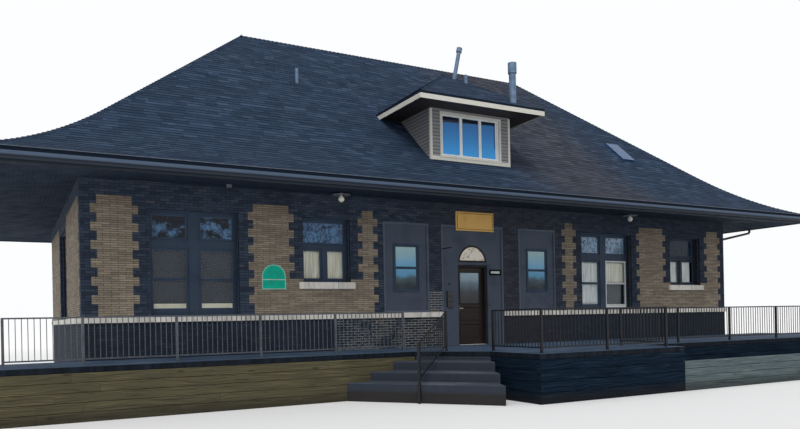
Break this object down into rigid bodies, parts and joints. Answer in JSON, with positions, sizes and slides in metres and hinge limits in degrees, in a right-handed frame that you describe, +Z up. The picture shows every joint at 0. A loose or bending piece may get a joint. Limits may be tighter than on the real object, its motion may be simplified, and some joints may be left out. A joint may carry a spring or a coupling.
{
  "type": "railway station building",
  "caption": "Single-storey brick station house with a hipped roof on flared eaves, a hipped dormer, toothed buff brick panels, an entrance door and a raised deck with angled steps.",
  "frame": {"origin": "on the ground under the middle of the building walls, leaving out the deck", "axes": "+X to the right along the front wall, +Y from the front wall to the back wall, +Z up"},
  "size_m": [24.86, 17.595, 10.8556],
  "materials": {
    "brick": "matt",
    "backing": "matt",
    "buff_brick": "matt",
    "stone": "matt",
    "blue_grey_wood": "satin paint",
    "glass": "clear",
    "dark_wood": "satin paint",
    "door_wood": "varnish",
    "satin_steel": "satin",
    "boards": "matt",
    "shingles": "matt",
    "painted_metal": "satin",
    "clapboard": "matt paint",
    "cream_wood": "satin paint",
    "glass_dark": "tinted",
    "galvanised": "dull",
    "lamp_metal": "satin",
    "sign_wood": "varnish",
    "green_metal": "gloss",
    "black_metal": "satin",
    "concrete": "matt",
    "yellow_timber": "weathered",
    "stained_timber": "stained",
    "grey_timber": "weathered",
    "grey_metal": "satin"
  },
  "bodies": {
    "building": {"foundation": "brick", "front_wall_base": "backing", "front_wall_piers": "backing", "front_wall_head": "backing", "back_wall": "backing", "left_end_wall": "backing", "right_end_wall": "backing", "face_brick": "brick", "buff_brick": "buff_brick", "belt_course": "stone", "window_sills": "stone", "window_frames": "blue_grey_wood", "window_glass": "glass", "infill_panels": "blue_grey_wood", "door_surround": "blue_grey_wood", "door_frame": "dark_wood", "attic_floor": "boards", "roof_front": "shingles", "roof_back": "shingles", "roof_ends": "shingles", "ridge_caps": "shingles", "soffit": "dark_wood", "gutter": "painted_metal", "dormer_walls": "clapboard", "dormer_roof": "shingles", "dormer_eaves": "cream_wood", "dormer_trim": "cream_wood", "dormer_glass": "glass", "skylight": "glass_dark", "roof_flues": "galvanised", "wall_lamps": "lamp_metal", "sign_board": "sign_wood", "wall_plaque": "green_metal", "entry_boxes": "black_metal", "deck_slab": "concrete", "deck_timber": "yellow_timber", "landing_timber": "stained_timber", "planter_wall": "grey_timber", "steps": "concrete", "deck_rails": "grey_metal", "landing_rails": "black_metal", "stair_rail": "black_metal"},
    "front_door": {"door_leaf": "door_wood", "door_glass": "glass", "door_handle": "satin_steel"}
  },
  "joints": [
    {"name": "front_door_hinge", "type": "hinge", "parent": "building", "child": "front_door", "pos_m": [0.168, -4.947, 2.1775], "axis": [0, 0, -1], "range_deg": [0, 90]}
  ]
}
